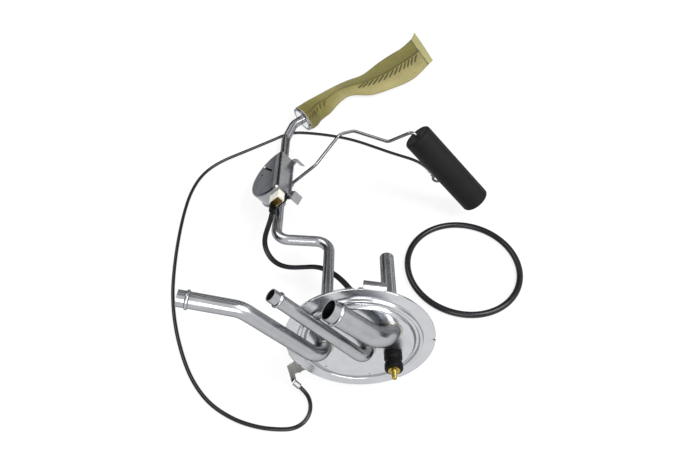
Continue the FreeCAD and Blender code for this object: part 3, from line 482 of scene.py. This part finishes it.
def addSignalLead():
    setup = signalLead
    route = routeCurve("leadRoute", setup["route"])
    points = linePoints(route)
    bpy.data.objects.remove(route)
    half, flat, edge = setup["width"] / 2 * mm, setup["thickness"] / 2 * mm, setup["edge"] * mm
    outline = []
    for sx, sy in ((1, 1), (-1, 1), (-1, -1), (1, -1)):
        corner = [(sx * half, sy * (flat - edge)), (sx * (half - edge * 0.3), sy * (flat - edge * 0.3)),
                  (sx * (half - edge), sy * flat)]
        outline += corner if sx * sy > 0 else corner[::-1]
    mesh = bmesh.new()
    across = Vector(housingAxis)
    rings = []
    for index, point in enumerate(points):
        ahead = (points[min(index + 1, len(points) - 1)] - points[max(index - 1, 0)]).normalized()
        across = (across - ahead * across.dot(ahead)).normalized()
        up = ahead.cross(across)
        rings.append([mesh.verts.new(point + across * x + up * y) for x, y in outline])
    for first, second in zip(rings, rings[1:]):
        for i in range(len(outline)):
            j = (i + 1) % len(outline)
            mesh.faces.new((first[i], first[j], second[j], second[i]))
    mesh.faces.new(rings[0][::-1])
    mesh.faces.new(rings[-1])
    bmesh.ops.recalc_face_normals(mesh, faces=mesh.faces)
    data = bpy.data.meshes.new("signalLead")
    mesh.to_mesh(data)
    mesh.free()
    lead = bpy.data.objects.new("signalLead", data)
    bpy.context.scene.collection.objects.link(lead)
    smoothByAngle(lead, 35)
    data.materials.append(finishes["leadRubber"])
    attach(lead, "root")
    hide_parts("signal_lead")


def smoothByAngle(piece, angle):
    deselectAll()
    piece.select_set(True)
    bpy.context.view_layer.objects.active = piece
    bpy.ops.object.shade_smooth_by_angle(angle=math.radians(angle))
    piece.select_set(False)


addSignalLead()
print("cords laid")


# Strainer sock: along it, its upper edge, its crease and its lower edge as x, y, z in millimetres,
# then how far the cloth swells above the crease, below it and underneath
strainerSock = {
    "stations": (
        ((-60.3, 267.3, -30.5), (-49.6, 256.9, -31.0), (-44.0, 251.5, -43.6), (2.7, 2.7, 7.0)),
        ((-55.3, 272.4, -30.5), (-44.6, 262.0, -31.0), (-39.1, 256.6, -43.6), (2.7, 2.7, 7.0)),
        ((-52.5, 277.5, -31.5), (-43.5, 266.5, -31.5), (-35.5, 263.5, -42.8), (2.0, 2.4, 4.8)),
        ((-45.0, 287.0, -33.0), (-39.0, 275.5, -31.5), (-31.5, 269.0, -42.5), (1.4, 2.2, 4.2)),
        ((-37.0, 296.0, -34.0), (-31.0, 284.5, -32.0), (-26.5, 275.5, -42.5), (0.8, 2.0, 3.6)),
        ((-22.0, 313.5, -36.5), (-19.5, 299.0, -32.5), (-16.0, 294.5, -42.5), (0.5, 1.8, 2.6)),
        ((-9.5, 326.0, -38.5), (-7.0, 308.5, -33.5), (-5.0, 304.5, -42.5), (0.4, 2.2, 2.2)),
        ((6.0, 338.5, -40.0), (10.0, 316.0, -33.5), (16.0, 306.0, -42.5), (0.2, 2.4, 2.0)),
        ((24.0, 364.0, -41.5), (30.0, 332.0, -34.0), (37.0, 317.5, -42.5), (-0.5, 2.2, 1.8)),
        ((39.5, 383.0, -42.5), (46.5, 351.5, -35.5), (53.5, 329.5, -43.0), (-0.7, 1.8, 1.4)),
        ((50.5, 396.0, -43.5), (58.5, 368.0, -38.0), (65.0, 342.5, -43.5), (-0.3, 1.2, 1.0)),
        ((63.0, 416.5, -44.2), (70.5, 389.5, -42.6), (79.5, 366.0, -44.2), (0.0, 0.1, 0.5)),
        ((68.0, 431.5, -44.5), (76.5, 402.0, -44.1), (84.5, 373.5, -44.5), (0.0, 0.0, 0.3)),
    ),
    "rings": 220,
    "upper": 22,
    "lower": 26,
    "belly": 30,
    "clothSize": (0.09, 0.19),
    "mouthEnd": 0.9,
    "hemStart": 10.93,
    "hemFade": 1.5,
    "folds": 22,
    "foldHeight": 0.42,
    "foldPlaces": (1.8, 10.4),
    "foldShares": (0.1, 0.9),
    "foldSizes": (0.4, 1.0),
    "foldSlants": (-1.4, 1.4),
    "draws": 11,
    "mouthRoundness": 0.5,
    "roundnessGain": 0.3,
    "roundnessOver": 4,
    "headingStep": 0.05,
    "lipStart": 0.86,
    "lipDepth": 0.9,
    "rollEnd": 0.1,
    "rollHeight": 0.35,
    "seamDepth": 0.35,
    "seamSharpness": 16,
    "floorGap": 0.12,
}
# Its colours above the crease, below it and underneath (the upper side darker as painted shade, the lower side
# lighter as painted light), at the mouth (painted shade) and hem (painted highlight), along the dark lines
# (painted shade at the crease and top edge, a seam line at the hem), and where along and across the cloth each
# one shows
sockColoursWithPaintedShade = {
    "parts": ((0.185, 0.165, 0.032), (0.38, 0.335, 0.145), (0.3, 0.26, 0.1)),
    "mouthShade": (0.13, 0.115, 0.03),
    "hemHighlight": (0.46, 0.43, 0.19),
    "line": (0.035, 0.032, 0.008),
    "creaseShare": 0.95,
    "creaseWidth": 0.09,
    "edgeWidth": 0.06,
    "mouthPlace": 1.2,
    "mouthWidth": 1.3,
    "pinchPlace": 4.6,
    "pinchSharpness": 0.7,
    "paleStart": 3.2,
    "paleOver": 2.0,
    "hemSharpness": 18,
}
sockStitches = {
    "first": (0.4, 0.8, 1.25, 1.8, 2.4, 3.0, 3.6),
    "second": (6.6, 6.84, 7.1, 7.37, 7.64, 7.92, 8.22, 8.53, 8.85, 9.2, 9.56, 9.95, 10.34),
    "lean": 0.42,
    "span": (0.05, 0.36),
    "halfWidth": 1.0,
    "rise": 0.3,
    "steps": 7,
    "sides": 8,
}


def sockFinish():
    material, tree, shader = newMaterial("sockMesh")
    link = tree.links.new
    flow = addNode(tree, "ShaderNodeUVMap", uv_map="cloth").outputs["UV"]
    where = addNode(tree, "ShaderNodeTexCoord").outputs["Object"]
    # The vertex colours carry the cloth's olive colour with painted shade and painted highlights
    shade = addNode(tree, "ShaderNodeVertexColor", layer_name="clothColourWithPaintedShade").outputs["Color"]
    warp = addNode(tree, "ShaderNodeTexWave", Scale=1.0, Distortion=0.3, Detail=1.0)
    link(placed(tree, flow, (900, 1, 1)), warp.inputs["Vector"])
    weft = addNode(tree, "ShaderNodeTexWave", bands_direction="Y", Scale=1.0, Distortion=0.3, Detail=1.0)
    link(placed(tree, flow, (1, 900, 1)), weft.inputs["Vector"])
    weave = addNode(tree, "ShaderNodeMath", operation="MULTIPLY")
    link(warp.outputs["Fac"], weave.inputs[0])
    link(weft.outputs["Fac"], weave.inputs[1])
    cloud = addNode(tree, "ShaderNodeTexNoise", Scale=70.0, Detail=5.0, Roughness=0.6)
    link(where, cloud.inputs["Vector"])
    dull = ramp(tree, cloud.outputs["Fac"], ((0.3, grey(0.82)), (0.7, grey(1.0))))
    threads = ramp(tree, weave.outputs["Value"], ((0.0, grey(0.72)), (0.5, grey(1.0))))
    link(multiplied(tree, multiplied(tree, shade, dull), threads), shader.inputs["Base Color"])
    rough = ramp(tree, cloud.outputs["Fac"], ((0.3, grey(0.55)), (0.7, grey(0.75))))
    link(rough, shader.inputs["Roughness"])
    shader.inputs["Sheen Weight"].default_value = 0.08
    shader.inputs["Specular IOR Level"].default_value = 0.25
    shader.inputs["Sheen Roughness"].default_value = 0.4
    bump = addNode(tree, "ShaderNodeBump", Strength=0.5, Distance=0.0002)
    link(weave.outputs["Value"], bump.inputs["Height"])
    link(bump.outputs["Normal"], shader.inputs["Normal"])
    return material


# A smooth step between the rows of numbers on both sides of a place
def between(rows, place):
    index = min(int(place), len(rows) - 2)
    t = place - index
    before, first, second, after = [rows[max(0, min(len(rows) - 1, index + k))] for k in (-1, 0, 1, 2)]
    result = []
    for a, b, c, d in zip(before, first, second, after):
        bend = (2 * a - 5 * b + 4 * c - d) * t * t + (3 * b - a - 3 * c + d) * t ** 3
        result.append(0.5 * (2 * b + (c - a) * t + bend))
    return result


sockRows = [[c for group in station for c in group] for station in strainerSock["stations"]]
sockEnd = len(sockRows) - 1


def sockFolds():
    setup = strainerSock
    draws = random.Random(setup["draws"])
    folds = []
    for _ in range(setup["folds"]):
        middle, share = draws.uniform(*setup["foldPlaces"]), draws.uniform(*setup["foldShares"])
        size = draws.uniform(*setup["foldSizes"]) * draws.choice((-1, 1))
        folds.append((middle, share, size, draws.uniform(*setup["foldSlants"])))
    return folds


sockCreases = sockFolds()


def creasePoint(place):
    return Vector(between(sockRows, min(sockEnd, max(0, place)))[3:6])


# A point of the cloth: part 0 is above the crease, 1 below it and 2 the underside
def sockPoint(place, part, share):
    setup = strainerSock
    row = between(sockRows, place)
    top, crease, low = [Vector(row[k:k + 3]) for k in (0, 3, 6)]
    swell = row[9 + part]
    start, end = ((top, crease), (crease, low), (low, top))[part]
    point = start.lerp(end, share)
    run = end - start
    ahead = creasePoint(place + setup["headingStep"]) - creasePoint(place - setup["headingStep"])
    away = ahead.cross(run).normalized() * -1
    flatter = setup["mouthRoundness"] + setup["roundnessGain"] * min(1, place / setup["roundnessOver"])
    point += away * swell * math.sin(math.pi * share) ** flatter
    fade = min(1, max(0, place - setup["mouthEnd"]))
    fade *= min(1, max(0, setup["hemStart"] - place) * setup["hemFade"])
    if part < 2:
        wave = 0
        for middle, centre, size, slant in sockCreases:
            off = (place - middle) * 2.6 + (share + part - 2 * centre) * slant
            wave += size * math.exp(-off * off * 5) * math.exp(-((share + part - 2 * centre) * 1.3) ** 2)
        point += away * wave * setup["foldHeight"] * fade * math.sin(math.pi * share)
    if part == 0 and share > setup["lipStart"]:
        along = (share - setup["lipStart"]) / (1 - setup["lipStart"])
        point -= away * setup["lipDepth"] * math.sin(math.pi * along) * fade
    if part == 1 and share < setup["rollEnd"]:
        point += away * setup["rollHeight"] * math.sin(math.pi * share / setup["rollEnd"]) * fade
    seam = math.exp(-((place - setup["hemStart"]) * setup["seamSharpness"]) ** 2)
    point -= away * setup["seamDepth"] * seam
    point.z = max(point.z, floorLevel / mm + setup["floorGap"])
    return point, away


def sockToneWithPaintedShade(place, part, share):
    tones = sockColoursWithPaintedShade
    upper, lower, belly = [Vector(shade) for shade in tones["parts"]]
    mouthShade, hemHighlight, line = [Vector(tones[name]) for name in ("mouthShade", "hemHighlight", "line")]
    hemStart = strainerSock["hemStart"]
    colour = (upper, lower, belly)[part]
    # Painted shade: the lower side takes the upper side's darker colour next to the crease and towards the
    # mouth
    if part == 1:
        paler = min(1, 0.35 + 0.9 * share) * min(1, max(0.1, (place - tones["paleStart"]) / tones["paleOver"]))
        colour = upper.lerp(colour, paler)
    # Painted shade and light: the upper side is lighter at its top and darker towards the crease, lighter
    # again at the pinch, with a dark line of painted shade at the crease and along its top edge
    if part == 0:
        colour = colour * (1.3 - 0.45 * share)
        pinch = math.exp(-((place - tones["pinchPlace"]) * tones["pinchSharpness"]) ** 2)
        colour = colour.lerp(lower, 0.35 * pinch)
        crease = max(0, 1 - abs(share - tones["creaseShare"]) / tones["creaseWidth"])
        colour = colour.lerp(line, crease * min(1, place))
        colour = colour.lerp(line, 0.5 * max(0, 1 - share / tones["edgeWidth"]))
    # Painted shade near the mouth
    nearMouth = max(0, 1 - abs(place - tones["mouthPlace"]) / tones["mouthWidth"])
    colour = colour.lerp(mouthShade, 0.7 * nearMouth)
    # The hem takes a painted highlight, with a dark seam line where it starts
    if place > hemStart:
        colour = hemHighlight
    colour = colour.lerp(line, 0.8 * math.exp(-((place - hemStart) * tones["hemSharpness"]) ** 2))
    return (*colour, 1)


def buildSock():
    setup = strainerSock
    mesh = bmesh.new()
    cloth = mesh.loops.layers.uv.new("cloth")
    clothColourWithPaintedShade = mesh.loops.layers.float_color.new("clothColourWithPaintedShade")
    around = []
    for part, count in enumerate((setup["upper"], setup["lower"], setup["belly"])):
        around += [(part, k / count) for k in range(count)]
    places = [sockEnd * k / setup["rings"] for k in range(setup["rings"] + 1)]
    rings = []
    for place in places:
        rings.append([mesh.verts.new(sockPoint(place, part, share)[0] * mm) for part, share in around])
    sides = len(around)
    wide, long = setup["clothSize"]
    for k in range(setup["rings"]):
        for s in range(sides):
            after = (s + 1) % sides
            face = mesh.faces.new((rings[k][s], rings[k][after], rings[k + 1][after], rings[k + 1][s]))
            face.smooth = True
            for loop, (a, b) in zip(face.loops, ((k, s), (k, s + 1), (k + 1, s + 1), (k + 1, s))):
                loop[cloth].uv = (b / sides * wide, a / setup["rings"] * long)
                loop[clothColourWithPaintedShade] = sockToneWithPaintedShade(places[a], *around[b % sides])
    mesh.faces.new(rings[0][::-1])
    mesh.faces.new(rings[-1])
    bmesh.ops.recalc_face_normals(mesh, faces=mesh.faces)
    addSoftPiece("strainerSock", mesh, sockFinish())
    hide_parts("strainer_sock")


def addSoftPiece(name, mesh, material):
    data = bpy.data.meshes.new(name)
    mesh.to_mesh(data)
    mesh.free()
    piece = bpy.data.objects.new(name, data)
    bpy.context.scene.collection.objects.link(piece)
    data.materials.append(material)
    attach(piece, "root")


# Slanting stitches beside the crease, each a flat thread that follows the cloth
def buildStitches():
    setup = sockStitches
    mesh = bmesh.new()
    steps, sides = setup["steps"], setup["sides"]
    low, high = setup["span"]
    for middle in setup["first"] + setup["second"]:
        rings = []
        for k in range(steps + 1):
            t = k / steps
            place = middle + setup["lean"] * (0.5 - t)
            share = low + (high - low) * t
            centre, away = sockPoint(place, 1, share)
            ahead = sockPoint(place - 0.02, 1, share + 0.02)[0] - centre
            side = ahead.cross(away).normalized()
            taper = math.sin(math.pi * (0.1 + 0.8 * t)) ** 0.5
            wide, rise = setup["halfWidth"] * taper, setup["rise"] * taper
            turns = [2 * math.pi * n / sides for n in range(sides)]
            outline = [side * wide * math.cos(a) + away * rise * math.sin(a) for a in turns]
            rings.append([mesh.verts.new((centre + offset) * mm) for offset in outline])
        for first, second in zip(rings, rings[1:]):
            for n in range(sides):
                after = (n + 1) % sides
                face = mesh.faces.new((first[n], first[after], second[after], second[n]))
                face.smooth = True
        mesh.faces.new(rings[0][::-1])
        mesh.faces.new(rings[-1])
    bmesh.ops.recalc_face_normals(mesh, faces=mesh.faces)
    addSoftPiece("sockStitches", mesh, finishes["stitchThread"])


buildSock()
buildStitches()
print("sock made")


# Brass stud with a cut thread, in the plate's frame: y runs into the tank
stud = {
    "place": (20.7, -9.7), "outer": -21.5, "root": -16.0, "inner": 6.0, "nutFace": 1.5,
    "radius": 1.7, "shank": 1.5, "pitch": 1.0, "depth": 0.36, "step": 0.125, "sides": 28,
    "chamfer": 0.4,
}
lean = Matrix.Rotation(math.radians(-9), 4, "X")


def threadRadius(level, angle):
    if stud["root"] < level < stud["nutFace"]:
        return stud["shank"]
    crest = stud["radius"] if level <= stud["root"] else stud["shank"]
    wave = abs(((level / stud["pitch"] + angle / (2 * math.pi)) % 1) * 2 - 1)
    end = min(level - stud["outer"], stud["inner"] - level)
    return crest - stud["depth"] * wave - max(0, stud["chamfer"] - end)


def addStud():
    deselectAll()
    bpy.ops.mesh.primitive_circle_add(vertices=stud["sides"], radius=stud["radius"] * mm, fill_type="NGON")
    piece = bpy.context.object
    piece.name = "threadedStud"
    bpy.ops.object.mode_set(mode="EDIT")
    bpy.ops.mesh.select_all(action="SELECT")
    count = round((stud["inner"] - stud["outer"]) / stud["step"])
    for _ in range(count):
        bpy.ops.mesh.extrude_region_move(TRANSFORM_OT_translate={"value": (0, 0, stud["step"] * mm)})
    bpy.ops.mesh.select_all(action="SELECT")
    bpy.ops.mesh.normals_make_consistent(inside=False)
    bpy.ops.object.mode_set(mode="OBJECT")
    for v in piece.data.vertices:
        level = stud["outer"] + v.co.z / mm
        angle = math.atan2(v.co.y, v.co.x)
        radius = threadRadius(level, angle) * mm
        x, z = [c * mm for c in stud["place"]]
        v.co = lean @ Vector((x + math.cos(angle) * radius, level * mm, z - math.sin(angle) * radius))
    smoothByAngle(piece, 40)
    piece.data.materials.append(finishes["brass"])
    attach(piece, "root")
    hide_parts("feed_stud")


addStud()
print("stud threaded")


# White domes on the housing's face standing in for two bright dots, one a painted highlight at the lower
# corner by the ridge and one a white spot for a hole that shows the backdrop, as places in millimetres
paintedWhiteDots = {"places": ((-78.65, 170.93, -18.44), (-63.78, 131.52, -0.97)), "radius": 1.1, "sunk": 0.5}


def addPaintedWhiteDots():
    for index, place in enumerate(paintedWhiteDots["places"]):
        deselectAll()
        bpy.ops.mesh.primitive_uv_sphere_add(segments=20, ring_count=12, radius=paintedWhiteDots["radius"] * mm)
        pin = bpy.context.object
        pin.name = "paintedWhiteDot" + str(index)
        middle = Vector(place) - Vector(housingAxis) * paintedWhiteDots["sunk"]
        bpy.ops.object.mode_set(mode="EDIT")
        bpy.ops.mesh.select_all(action="SELECT")
        bpy.ops.transform.translate(value=middle * mm)
        bpy.ops.object.mode_set(mode="OBJECT")
        bpy.ops.object.shade_smooth()
        pin.data.materials.append(finishes["whiteInsulator"])
        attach(pin, "root")


addPaintedWhiteDots()
print("pins set")


# Floor, background and lamps
studio = {
    "floorShade": 0.86,
    "shadowReach": (0.5, 1.0),
    "skyForLight": 0.55,
    "lamps": (
        ("keyLamp", (0.55, -0.05, 0.75), 0.5, 9.0),
        ("fillLamp", (-0.5, 0.4, 0.75), 0.5, 3.0),
        ("frontLamp", (0.0, -0.75, 0.55), 0.5, 4.0),
    ),
}


def backgroundMix(tree):
    rays = addNode(tree, "ShaderNodeLightPath")
    first = addNode(tree, "ShaderNodeMath", operation="MAXIMUM")
    tree.links.new(rays.outputs["Is Camera Ray"], first.inputs[0])
    tree.links.new(rays.outputs["Is Glossy Ray"], first.inputs[1])
    second = addNode(tree, "ShaderNodeMath", operation="MAXIMUM")
    tree.links.new(first.outputs["Value"], second.inputs[0])
    tree.links.new(rays.outputs["Is Transmission Ray"], second.inputs[1])
    return second.outputs["Value"]


def addFloor():
    deselectAll()
    bpy.ops.mesh.primitive_plane_add(size=12, location=(0, 0, floorLevel))
    floor = bpy.context.object
    floor.name = "paleFloor"
    material, tree, shader = newMaterial("paleFloor")
    shader.inputs["Base Color"].default_value = (*grey(studio["floorShade"]), 1)
    shader.inputs["Roughness"].default_value = 0.9
    white = addNode(tree, "ShaderNodeEmission", Strength=1.0)
    away = addNode(tree, "ShaderNodeVectorMath", operation="LENGTH")
    tree.links.new(addNode(tree, "ShaderNodeTexCoord").outputs["Object"], away.inputs[0])
    fade = addNode(tree, "ShaderNodeMapRange")
    fade.inputs["From Min"].default_value, fade.inputs["From Max"].default_value = studio["shadowReach"]
    fade.inputs["To Min"].default_value = 0.8
    tree.links.new(away.outputs["Value"], fade.inputs["Value"])
    keep = addNode(tree, "ShaderNodeMath", operation="MULTIPLY")
    tree.links.new(fade.outputs["Result"], keep.inputs[1])
    tree.links.new(backgroundMix(tree), keep.inputs[0])
    mix = addNode(tree, "ShaderNodeMixShader")
    tree.links.new(keep.outputs["Value"], mix.inputs[0])
    tree.links.new(shader.outputs["BSDF"], mix.inputs[1])
    tree.links.new(white.outputs["Emission"], mix.inputs[2])
    tree.links.new(mix.outputs["Shader"], tree.nodes["Material Output"].inputs["Surface"])
    floor.data.materials.append(material)


def addWorld():
    world = bpy.data.worlds.new("studio")
    world.use_nodes = True
    bpy.context.scene.world = world
    tree = world.node_tree
    plain = tree.nodes["Background"]
    plain.inputs["Color"].default_value = (*grey(studio["skyForLight"]), 1)
    white = addNode(tree, "ShaderNodeBackground", Strength=1.0)
    white.inputs["Color"].default_value = (1, 1, 1, 1)
    mix = addNode(tree, "ShaderNodeMixShader")
    tree.links.new(backgroundMix(tree), mix.inputs[0])
    tree.links.new(plain.outputs["Background"], mix.inputs[1])
    tree.links.new(white.outputs["Background"], mix.inputs[2])
    tree.links.new(mix.outputs["Shader"], tree.nodes["World Output"].inputs["Surface"])


def addLamps():
    for name, place, size, power in studio["lamps"]:
        lamp = bpy.data.lights.new(name, "AREA")
        lamp.size = size
        lamp.energy = power
        holder = bpy.data.objects.new(name, lamp)
        holder.location = place
        aim = Vector((0, 0.12, -0.02)) - Vector(place)
        holder.rotation_euler = aim.to_track_quat("-Z", "Y").to_euler()
        bpy.context.scene.collection.objects.link(holder)


# Dark and grey cards that only reflections see, as round a product on a photographer's table
studioCards = (
    ("leftCard", 0.03, ((-0.6, -0.3, -0.045), (-0.6, 0.6, -0.045), (-0.6, 0.6, 0.5), (-0.6, -0.3, 0.5))),
    ("backLeftCard", 0.03, ((-0.6, 0.6, -0.045), (-0.2, 1.0, -0.045), (-0.2, 1.0, 0.45), (-0.6, 0.6, 0.45))),
    ("backCard", 0.05, ((-0.2, 1.0, -0.045), (0.6, 1.0, -0.045), (0.6, 1.0, 0.28), (-0.2, 1.0, 0.28))),
    ("rightCard", 0.05, ((0.7, 0.9, -0.045), (0.7, -0.1, -0.045), (0.7, -0.1, 0.16), (0.7, 0.9, 0.16))),
    ("highCard", 0.12, ((-0.4, 1.1, 0.5), (0.8, 1.1, 0.5), (0.8, 0.8, 0.8), (-0.4, 0.8, 0.8))),
    ("topCard", 0.3, ((-0.6, 0.1, 1.0), (0.8, 0.1, 1.0), (0.8, 0.7, 0.9), (-0.6, 0.7, 0.9))),
)


def addCards():
    for name, shade, corners in studioCards:
        material, _, shader = newMaterial(name)
        shader.inputs["Base Color"].default_value = (*grey(shade), 1)
        shader.inputs["Roughness"].default_value = 0.9
        data = bpy.data.meshes.new(name)
        data.from_pydata(corners, [], [(0, 1, 2, 3)])
        card = bpy.data.objects.new(name, data)
        bpy.context.scene.collection.objects.link(card)
        data.materials.append(material)
        card.visible_camera = False
        card.visible_diffuse = False
        card.visible_shadow = False


addFloor()
addWorld()
addLamps()
addCards()
bpy.context.scene.view_settings.view_transform = "Standard"
print("studio set")
